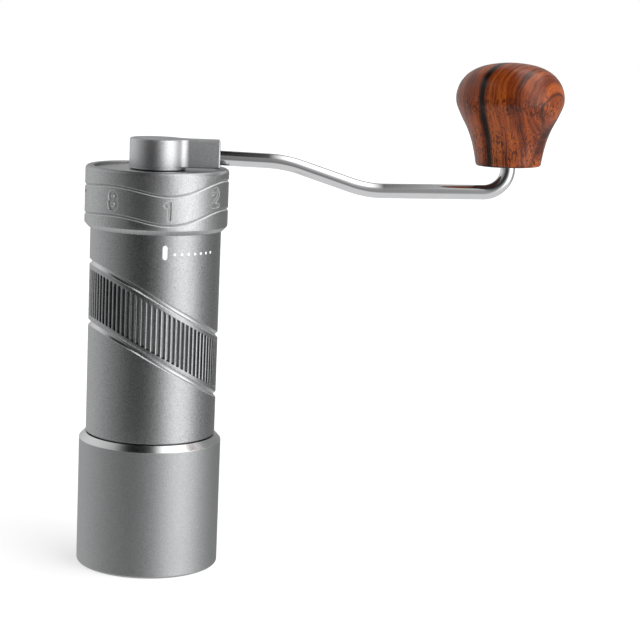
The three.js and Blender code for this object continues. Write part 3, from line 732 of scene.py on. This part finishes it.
def distance_to_strokes(x, y, strokes):
    """How far each point lies from the nearest centre line of a numeral."""
    nearest = np.full(x.shape, np.inf)
    for stroke in strokes:
        for (ax, ay), (bx, by) in zip(stroke, stroke[1:]):
            dx, dy = bx - ax, by - ay
            along = np.clip(((x - ax) * dx + (y - ay) * dy) / (dx * dx + dy * dy), 0, 1)
            nearest = np.minimum(nearest, np.hypot(x - ax - along * dx, y - ay - along * dy))
    return nearest


def dial_face():
    """Radii, heights and painted edge highlights of the dial from its lower wavy groove to its upper one.
    """
    angle = np.linspace(0, TAU, DIAL_COLUMNS, endpoint=False)
    groove = v_groove(*WAVE_GROOVE)
    plain_rows = np.arange(-WAVE_SPACING + WAVE_MARGIN_LOW, -WAVE_MARGIN_HIGH, DIAL_ROW_STEP)
    rows = [(o - WAVE_SPACING, d) for o, d in groove] + [(o, 0) for o in plain_rows] + groove
    heights = np.array([wave_height(angle) + o for o, _ in rows])
    radii = DIAL_RADIUS - np.array([np.full(DIAL_COLUMNS, d) for _, d in rows])
    worn = np.zeros(radii.shape)
    # The lower edge of each wavy groove gets a painted highlight.
    for first in (0, len(rows) - GROOVE_ROWS):
        worn[first + 1:first + 3] = 1
    for i, strokes in enumerate(NUMERALS):
        middle = math.radians(FIRST_NUMERAL + NUMERAL_ANGLE * i)
        away = (angle - middle + math.pi) % TAU - math.pi
        near = np.abs(away) * DIAL_RADIUS < NUMERAL_REACH
        x = np.broadcast_to(away[near] * DIAL_RADIUS, (len(rows), near.sum()))
        y = heights[:, near] - wave_height(middle) + WAVE_SPACING / 2
        inside = NUMERAL_STROKE / 2 - distance_to_strokes(x, y, strokes)
        radii[:, near] -= NUMERAL_DEPTH * smoothstep(inside / NUMERAL_WALL + 0.5)
        # A painted highlight: a light rim just outside each stroke.
        worn[:, near] += smoothstep(1.4 - np.abs(inside + NUMERAL_RIM) / NUMERAL_RIM_WIDTH)
    return radii, heights, worn


def adjustment_dial():
    low_profile = rounded([
        (DIAL_BORE, DIAL_BOTTOM, 0.1),
        (DIAL_RADIUS - DIAL_BEVEL_WIDTH, DIAL_BOTTOM, 0.5),
        (DIAL_RADIUS, DIAL_BOTTOM + DIAL_BEVEL_HEIGHT, 0.9),
        (DIAL_RADIUS, DIAL_BOTTOM + DIAL_BEVEL_HEIGHT + 0.6, 0),
    ], closed=False)
    high_profile = rounded([
        (DIAL_RADIUS, DIAL_TOP - DIAL_TOP_ROUND - 0.5, 0),
        (DIAL_RADIUS, DIAL_TOP, DIAL_TOP_ROUND),
        (DIAL_RIM_BORE, DIAL_TOP, 0.4),
        (DIAL_RIM_BORE, DIAL_FLANGE_HIGH, 0.2),
        (DIAL_FLANGE_RADIUS, DIAL_FLANGE_HIGH, 0.2),
        (DIAL_FLANGE_RADIUS, DIAL_FLANGE_LOW, 0.2),
        (DIAL_BORE, DIAL_FLANGE_LOW, 0.2),
        (DIAL_BORE, DIAL_GROOVE_HIGH, 0.1),
        (DIAL_GROOVE_RADIUS, DIAL_GROOVE_HIGH, 0.1),
        (DIAL_GROOVE_RADIUS, RING_GROOVE_LOW, 0.1),
        (DIAL_BORE, RING_GROOVE_LOW, 0.1),
        (DIAL_BORE, DIAL_BOTTOM + 1, 0),
    ], closed=False)
    face_radii, face_heights, worn = dial_face()
    low_radii, low_heights = flat_rows(low_profile, DIAL_COLUMNS)
    high_radii, high_heights = flat_rows(high_profile, DIAL_COLUMNS)
    radii = np.concatenate([low_radii, face_radii, high_radii])
    heights = np.concatenate([low_heights, face_heights, high_heights])
    worn = np.pad(worn, ((len(low_profile), len(high_profile)), (0, 0)))
    return ring_mesh("dial_ring", radii, heights, worn=worn)


# ---------------------------------------------------------------- lid and hopper

LID_BORE = 7.8
HOPPER_BORE = 21.7
HOPPER_TUBE_RADIUS = 23.2
HOPPER_COLLAR_BOTTOM = 157.7
PIN_SLOT_MIDDLE = Vector((-22.5, 0, 149.25))  # the slot that the guide pin runs in
PIN_SLOT_SIZE = Vector((3.6, 3, 4.5))


def lid():
    return revolve("lid", [
        (LID_BORE, LID_BOTTOM, 0.1),
        (LID_RADIUS, LID_BOTTOM, 0.2),
        (LID_RADIUS, LID_TOP, 0.35),
        (LID_BORE, LID_TOP, 0.2),
    ], 200)


def hopper_tube():
    tube = revolve("hopper", [
        (HOPPER_BORE, HOPPER_BOTTOM, 0.3),
        (HOPPER_TUBE_RADIUS, HOPPER_BOTTOM, 0.3),
        (HOPPER_TUBE_RADIUS, HOPPER_COLLAR_BOTTOM, 0.1),
        (HOPPER_RADIUS, HOPPER_COLLAR_BOTTOM, 0.3),
        (HOPPER_RADIUS, HOPPER_TOP, 0.4),
        (HOPPER_BORE, HOPPER_TOP, 0.5),
    ], 144)
    bpy.ops.mesh.primitive_cube_add(size=1, location=PIN_SLOT_MIDDLE * MM)
    slot_cutter = bpy.context.object
    slot_cutter.scale = PIN_SLOT_SIZE * MM
    boolean(tube, slot_cutter, "DIFFERENCE")
    return tube


# ---------------------------------------------------------------- crank

HUB_RADIUS = 11.5
HUB_EDGE = 0.7
HUB_CORNER = 0.6
HUB_BOTTOM = 163.7
NECK_HALF_WIDTH = 5.75
NECK_END = 25.0
NECK_FILLET = 5.0
NECK_BOTTOM = 164.7
BOSS_RADIUS = HUB_RADIUS - 0.05  # just inside the outline above it
BOSS_TOP = 166.5  # above NECK_BOTTOM, so that the two join
HUB_SPIGOT_RADIUS = 7.5  # the spigot goes through the lid
HUB_SPIGOT_BOTTOM = 157.5
CLIP_GROOVE_RADIUS = 6.9
CLIP_GROOVE_LOW, CLIP_GROOVE_HIGH = 160.1, 161.6
SOCKET_RADIUS = 4.3  # centre to corner of the hex socket
SOCKET_TOP = 172.2
ROD_BORE = 3.15
ROD_BORE_LENGTH = 20
SET_SCREW_X, SET_SCREW_Z = 18, 168.9
SET_SCREW_INNER_Y, SET_SCREW_OUTER_Y = 3, 7  # from the rod's bore to outside the neck
SET_SCREW_BORE = 1.8


def hub_outline():
    """The boss and neck seen from above, counter-clockwise from the neck's near corner."""
    from_flank = NECK_HALF_WIDTH + NECK_FILLET
    fillet_x = math.sqrt((HUB_RADIUS + NECK_FILLET) ** 2 - from_flank ** 2)
    boss = math.degrees(math.atan2(from_flank, fillet_x))
    corner_x, corner_y = NECK_END - HUB_CORNER, NECK_HALF_WIDTH - HUB_CORNER
    points = arc(corner_x, -corner_y, HUB_CORNER, -90, 0, 4)
    points += arc(corner_x, corner_y, HUB_CORNER, 0, 90, 4)
    points += arc(fillet_x, from_flank, NECK_FILLET, -90, boss - 180, 12)
    points += arc(0, 0, HUB_RADIUS, boss, 360 - boss, 72)[1:-1]
    points += arc(fillet_x, -from_flank, NECK_FILLET, 180 - boss, 90, 12)
    return points


def extrude_outline(name, outline, bottom, top):
    """An upright solid with the same outline all the way up."""
    bm = bmesh.new()
    low = [bm.verts.new((x * MM, y * MM, bottom * MM)) for x, y in outline]
    high = [bm.verts.new((x * MM, y * MM, top * MM)) for x, y in outline]
    count = len(outline)
    for i in range(count):
        j = (i + 1) % count
        bm.faces.new((low[i], low[j], high[j], high[i]))
    bm.faces.new(low[::-1])
    bm.faces.new(high)
    mesh = bpy.data.meshes.new(name)
    bm.to_mesh(mesh)
    bm.free()
    return new_object(name, mesh)


def cylinder_between(name, start, end, radius, sides=64):
    """A cutting cylinder between two points in millimetres."""
    a, b = Vector(start) * MM, Vector(end) * MM
    bpy.ops.mesh.primitive_cylinder_add(vertices=sides, radius=radius * MM, depth=(b - a).length)
    obj = bpy.context.object
    obj.name = name
    turn = (b - a).to_track_quat("Z", "Y").to_matrix().to_4x4()
    obj.matrix_world = Matrix.Translation((a + b) / 2) @ turn
    return obj


def crank_hub():
    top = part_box("crank_hub")[1].z / MM
    hub = extrude_outline("hub", hub_outline(), NECK_BOTTOM, top)
    bevel = hub.modifiers.new("edge", "BEVEL")
    bevel.width = HUB_EDGE * MM
    bevel.segments = 4
    bevel.limit_method = "ANGLE"
    bevel.angle_limit = math.radians(50)
    apply_modifiers(hub)
    boss = revolve("boss", [
        (0, HUB_SPIGOT_BOTTOM, 0),
        (HUB_SPIGOT_RADIUS, HUB_SPIGOT_BOTTOM, 0.4),
        (HUB_SPIGOT_RADIUS, CLIP_GROOVE_LOW, 0.1),
        (CLIP_GROOVE_RADIUS, CLIP_GROOVE_LOW, 0.1),
        (CLIP_GROOVE_RADIUS, CLIP_GROOVE_HIGH, 0.1),
        (HUB_SPIGOT_RADIUS, CLIP_GROOVE_HIGH, 0.1),
        (HUB_SPIGOT_RADIUS, HUB_BOTTOM, 0.2),
        (BOSS_RADIUS, HUB_BOTTOM, 0.3),
        (BOSS_RADIUS, BOSS_TOP, 0),
        (0, BOSS_TOP, 0),
    ], 96, closed=False)
    boolean(hub, boss, "UNION")
    socket_start = (0, 0, HUB_SPIGOT_BOTTOM - 1.5)
    socket = cylinder_between("socket", socket_start, (0, 0, SOCKET_TOP), SOCKET_RADIUS, 6)
    boolean(hub, socket, "DIFFERENCE")
    outwards = (rod_corners()[1] - ROD_START).normalized()
    rod_bore = cylinder_between("rod_bore", ROD_START, ROD_START + outwards * ROD_BORE_LENGTH, ROD_BORE)
    boolean(hub, rod_bore, "DIFFERENCE")
    screw_start = (SET_SCREW_X, SET_SCREW_INNER_Y, SET_SCREW_Z)
    screw_end = (SET_SCREW_X, SET_SCREW_OUTER_Y, SET_SCREW_Z)
    screw_hole = cylinder_between("screw_hole", screw_start, screw_end, SET_SCREW_BORE, 32)
    boolean(hub, screw_hole, "DIFFERENCE")
    return hub


ROD_RADIUS = 3.0
ROD_SIDES = 40
ROD_STEP = 0.8  # millimetres along a bend
ROD_START = Vector((10, 0, 169.06))
ROD_BENDS = (((51.4, 0, 168.1), 50), ((85.5, 0, 157.5), 41), ((143.6, 0, 158.75), 10))  # corner, radius
KNOB_BASE = Vector((143.3, 0, 169.9))  # the middle of the knob's underside
KNOB_LEAN = -0.026  # radians about +Y
ROD_END_HEIGHT = 27  # above the knob's underside


def knob_matrix():
    """Moves a piece made upright at the origin to the knob's place, in metres."""
    return Matrix.Translation(KNOB_BASE * MM) @ Matrix.Rotation(KNOB_LEAN, 4, "Y")


def rod_corners():
    """Where the rod's axis starts, its bends' corners, and where it ends inside the knob."""
    end = KNOB_BASE + Vector((math.sin(KNOB_LEAN), 0, math.cos(KNOB_LEAN))) * ROD_END_HEIGHT
    return [ROD_START, *(Vector(at) for at, _ in ROD_BENDS), end]


def rod_centreline():
    """Points along the rod, with a circular arc at each bend."""
    corners = rod_corners()
    line = [corners[0]]
    for i, (_, radius) in enumerate(ROD_BENDS):
        corner = corners[i + 1]
        inward = (corner - corners[i]).normalized()
        outward = (corners[i + 2] - corner).normalized()
        turn = inward.angle(outward)
        setback = radius * math.tan(turn / 2)
        centre = corner + (outward - inward).normalized() * radius / math.cos(turn / 2)
        spoke = corner - inward * setback - centre
        steps = max(8, round(turn * radius / ROD_STEP))
        for k in range(steps + 1):
            part = turn * k / steps
            line.append(centre + spoke * math.cos(part) + inward * radius * math.sin(part))
    line.append(corners[-1])
    return line


def crank_rod():
    line = rod_centreline()
    bm = bmesh.new()
    across = Vector((0, 1, 0))
    rings = []
    for i, point in enumerate(line):
        ahead = line[min(i + 1, len(line) - 1)] - line[max(i - 1, 0)]
        up = ahead.normalized().cross(across).normalized()
        ring = []
        for k in range(ROD_SIDES):
            turn = TAU * k / ROD_SIDES
            offset = across * math.cos(turn) + up * math.sin(turn)
            ring.append(bm.verts.new((point + offset * ROD_RADIUS) * MM))
        rings.append(ring)
    for low, high in zip(rings, rings[1:]):
        for k in range(ROD_SIDES):
            following = (k + 1) % ROD_SIDES
            bm.faces.new((low[k], low[following], high[following], high[k]))
    bm.faces.new(rings[0])
    bm.faces.new(rings[-1])
    bmesh.ops.recalc_face_normals(bm, faces=bm.faces)
    mesh = bpy.data.meshes.new("rod")
    bm.to_mesh(mesh)
    bm.free()
    return new_object("rod", mesh)


# ---------------------------------------------------------------- knob

KNOB_HEIGHT = 41.9
KNOB_FOOT_RADIUS = 12.95
KNOB_BORE_RADIUS, KNOB_BORE_DEPTH = 5, 29
KNOB_OUTLINE = (
    # height above the underside, radius
    (0.6, 13.35), (5.3, 14.2), (10.2, 15.4), (15, 17.2), (19.9, 19.7), (24.7, 21.75),
    (28, 22.1), (31.2, 21.5), (34.5, 19.9), (37.7, 16.8), (40.1, 12.2), (41.4, 6.6), (KNOB_HEIGHT, 0),
)


def smooth_curve(points, steps):
    """Catmull-Rom curve through points, for an outline that ends on the axis."""
    p = np.array(points, float)
    mirrored = p[-2] * np.array([1, -1])
    p = np.vstack([2 * p[0] - p[1], p, mirrored])
    out = []
    for i in range(1, len(p) - 2):
        for t in np.linspace(0, 1, steps, endpoint=False):
            a, b, c, d = p[i - 1:i + 3]
            out.append(0.5 * (2 * b + (c - a) * t + (2 * a - 5 * b + 4 * c - d) * t ** 2
                              + (3 * b - a - 3 * c + d) * t ** 3))
    out.append(p[-2])
    return out


def knob():
    outside = [(max(r, 0), h, 0) for h, r in smooth_curve(KNOB_OUTLINE, 6)]
    grip = revolve("knob", [
        (0, KNOB_BORE_DEPTH, 0),
        (KNOB_BORE_RADIUS, KNOB_BORE_DEPTH, 0.2),
        (KNOB_BORE_RADIUS, 0, 0.5),
        (KNOB_FOOT_RADIUS, 0, 0.5),
        *outside,
    ], 144, closed=False)
    grip.data.transform(knob_matrix())
    return grip


# ---------------------------------------------------------------- camera, light and floor

CAMERA_PLACE = (0, -0.7554, 0.2325)
CAMERA_TURNS = (5.19, 9.67, 2.52)  # to the right, down, and about the line of sight, in degrees
SENSOR_WIDTH = 36
FOCAL_LENGTH = 104.7


def camera():
    """Looks a little to the right and slightly down, with a small roll."""
    data = bpy.data.cameras.new("camera")
    data.sensor_width = SENSOR_WIDTH
    data.lens = FOCAL_LENGTH
    cam = bpy.data.objects.new("camera", data)
    bpy.context.scene.collection.objects.link(cam)
    cam.location = CAMERA_PLACE
    yaw, pitch, roll = (math.radians(a) for a in CAMERA_TURNS)
    forward = Vector((math.sin(yaw) * math.cos(pitch), math.cos(yaw) * math.cos(pitch), -math.sin(pitch)))
    cam.rotation_mode = "QUATERNION"
    cam.rotation_quaternion = forward.to_track_quat("-Z", "Y") @ Quaternion((0, 0, 1), roll)
    bpy.context.scene.camera = cam


# How bright the studio is at each azimuth, in degrees from the front towards the crank arm.
SURROUND = (
    (-180, 0.4), (-140, 0.75), (-105, 0.7), (-85, 0.5), (-62, 0.28), (-42, 0.1), (-22, 0.04),
    (0, 0.17), (18, 0.7), (36, 1.85), (54, 2.2), (70, 1.7), (86, 0.75), (110, 0.36), (145, 0.28),
    (180, 0.35),
)
# How bright the ceiling is, from its left edge (-1) to its right edge (1).
CEILING = ((-1, 0.6), (-0.6, 0.6), (-0.45, 0.04), (0.08, 0.04), (0.26, 1.8), (1, 1.8))
BRIGHTEST = 2.5
CEILING_FROM, CEILING_FULL = 36, 56  # degrees of elevation
TABLE = 0.75  # light from the white table below
TABLE_FROM, TABLE_FULL = 14, 34


def studio_light():
    """A room with a bright window on the right, a dark left front and a white table."""
    world = bpy.data.worlds.new("studio")
    bpy.context.scene.world = world
    world.use_nodes = True
    tree = world.node_tree
    tree.nodes.clear()

    def node(kind, **settings):
        made = tree.nodes.new(kind)
        for key, value in settings.items():
            setattr(made, key, value)
        return made

    def calc(operation, *values):
        made = node("ShaderNodeMath", operation=operation)
        for socket, value in zip(made.inputs, values):
            if isinstance(value, bpy.types.NodeSocket):
                tree.links.new(value, socket)
            else:
                socket.default_value = value
        return made.outputs["Value"]

    def rise(value, start, end):
        """0 below start, growing smoothly to 1 at end. Degrees."""
        made = node("ShaderNodeMapRange", interpolation_type="SMOOTHSTEP")
        tree.links.new(value, made.inputs["Value"])
        made.inputs["From Min"].default_value = math.radians(start)
        made.inputs["From Max"].default_value = math.radians(end)
        return made.outputs["Result"]

    def brightness(value, stops, low, high):
        """Reads a table of (value, brightness), with values from low to high."""
        ramp = node("ShaderNodeValToRGB")
        ramp.color_ramp.interpolation = "CARDINAL"
        elements = ramp.color_ramp.elements
        while len(elements) < len(stops):
            elements.new(1.0)
        for element, (at, bright) in zip(elements, stops):
            element.position = (at - low) / (high - low)
            element.color = (bright / BRIGHTEST,) * 3 + (1,)
        share = calc("DIVIDE", calc("SUBTRACT", value, low), high - low)
        tree.links.new(share, ramp.inputs["Fac"])
        return calc("MULTIPLY", ramp.outputs["Color"], BRIGHTEST)

    direction = node("ShaderNodeTexCoord").outputs["Generated"]
    split = node("ShaderNodeSeparateXYZ")
    tree.links.new(direction, split.inputs["Vector"])
    x, y, z = split.outputs
    azimuth = calc("DEGREES", calc("ARCTAN2", x, calc("MULTIPLY", y, -1.0)))
    elevation = calc("ARCSINE", z)
    upper = rise(elevation, CEILING_FROM, CEILING_FULL)
    lower = rise(calc("MULTIPLY", elevation, -1.0), TABLE_FROM, TABLE_FULL)
    middle = calc("SUBTRACT", 1.0, calc("ADD", upper, lower))
    light = calc("MULTIPLY", brightness(azimuth, SURROUND, -180, 180), middle)
    light = calc("ADD", light, calc("MULTIPLY", upper, brightness(x, CEILING, -1, 1)))
    light = calc("ADD", light, calc("MULTIPLY", lower, TABLE))

    seen = node("ShaderNodeLightPath").outputs["Is Camera Ray"]
    strength = node("ShaderNodeMix", data_type="FLOAT")
    tree.links.new(seen, strength.inputs["Factor"])
    tree.links.new(light, strength.inputs["A"])
    strength.inputs["B"].default_value = 1.0
    background = node("ShaderNodeBackground")
    background.inputs["Color"].default_value = (1, 1, 1, 1)
    tree.links.new(strength.outputs["Result"], background.inputs["Strength"])
    output = node("ShaderNodeOutputWorld")
    tree.links.new(background.outputs["Background"], output.inputs["Surface"])


FLOOR_SIZE = 12
FLOOR_COLOUR = (0.8, 0.8, 0.8, 1)
FLOOR_GLOW = 0.6


def floor():
    """A wide white table. It shows a soft contact shadow and isn't seen in the metal."""
    bpy.ops.mesh.primitive_plane_add(size=FLOOR_SIZE, location=(0, 0, cad_box[0].z))
    plane = bpy.context.object
    plane.name = "floor"
    material = bpy.data.materials.new("floor")
    material.use_nodes = True
    shader = material.node_tree.nodes["Principled BSDF"]
    shader.inputs["Base Color"].default_value = FLOOR_COLOUR
    shader.inputs["Roughness"].default_value = 0.9
    shader.inputs["Specular IOR Level"].default_value = 0.0
    shader.inputs["Emission Color"].default_value = (1, 1, 1, 1)
    shader.inputs["Emission Strength"].default_value = FLOOR_GLOW
    plane.data.materials.append(material)
    plane.visible_glossy = False
    plane.visible_diffuse = False


# ---------------------------------------------------------------- everything together

bpy.context.scene.view_settings.view_transform = "Standard"
camera()
studio_light()
floor()

shoulder_bottom = (CUP_TOP - SHOULDER_DROP - 0.1) * MM
blasted = blasted_aluminium(
    "titanium_grey_aluminium", tint=(0.385, 0.39, 0.395), roughness=0.29, grain=0.8)
blasted_dial = blasted_aluminium(
    "titanium_grey_dial", tint=(0.47, 0.475, 0.48), roughness=0.33, grain=0.8)
blasted_cup = blasted_aluminium(
    "titanium_grey_cup", tint=(0.43, 0.435, 0.44), roughness=0.46, grain=0.55,
    machined_above=shoulder_bottom)
bright = blasted_aluminium("bright_aluminium", tint=(0.62, 0.625, 0.635), roughness=0.37, grain=0.5)
lid_metal = turned_metal("lid_aluminium", (0.5, 0.505, 0.515), 0.2)
steel = polished_steel()
wood = rosewood(KNOB_BASE * MM)
rubber = soft_rubber()

place(finish_mesh(catch_cup()), "cup", blasted_cup, "aluminium", "catch_cup")
place(finish_mesh(outer_body()), "housing", blasted, "aluminium", "outer_body")
place(finish_mesh(index_marks()), "housing", index_paint(), "aluminium")
place(finish_mesh(adjustment_dial()), "dial", blasted_dial, "aluminium", "adjustment_dial")
place(finish_mesh(lid()), "lid", lid_metal, "bright_aluminium", "lid_disc")
place(finish_mesh(hopper_tube()), "carriage", lid_metal, "bright_aluminium", "hopper_tube")
place(finish_mesh(crank_hub()), "crank", bright, "bright_aluminium", "crank_hub")
place(finish_mesh(crank_rod()), "crank", steel, "stainless", "crank_rod")
place(finish_mesh(knob()), "knob", wood, "rosewood", "knob_grip")

# Materials of the CAD nodes that stay as they are.
CARRIED_OVER = {
    "stainless": turned_metal("stainless", (0.62, 0.62, 0.64), 0.2),
    "burr_steel": turned_metal("burr_steel", (0.45, 0.45, 0.47), 0.28, line_scale=1500, lines=0.4),
    "spring_steel": turned_metal("spring_steel", (0.4, 0.4, 0.42), 0.3),
    "brass": turned_metal("brass", (0.62, 0.42, 0.16), 0.25),
    "silicone": rubber,
}
for part in frame["record"]["subparts"]:
    node = frame["nodes"][part["node"]]
    if not node.hide_render:
        node.data.materials.clear()
        node.data.materials.append(CARRIED_OVER[part["material_slot"]])
